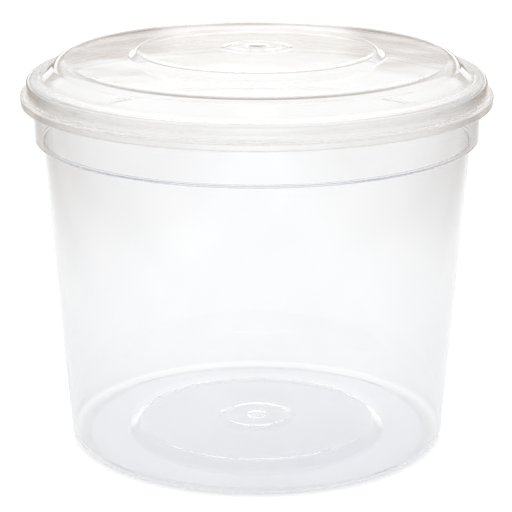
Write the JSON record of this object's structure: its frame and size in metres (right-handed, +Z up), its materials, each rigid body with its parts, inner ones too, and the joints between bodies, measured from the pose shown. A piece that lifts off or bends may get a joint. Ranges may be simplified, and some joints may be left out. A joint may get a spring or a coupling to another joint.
{
  "type": "takeaway soup container",
  "caption": "Round clear plastic food tub with a tapered wall and stepped collar, closed by a low stepped lid that clips over its rim.",
  "frame": {"origin": "middle of the foot, on the surface that the container stands on", "axes": "+Z up along the axis that both pieces are turned round; X and Y are alike"},
  "size_m": [0.118, 0.118, 0.101],
  "materials": {
    "tub_plastic": "clear polypropylene, faintly milky, smooth moulded surface",
    "lid_plastic": "clear polypropylene, glossy"
  },
  "bodies": {
    "root": {"tub": "tub_plastic", "lid": "lid_plastic"}
  },
  "joints": []
}
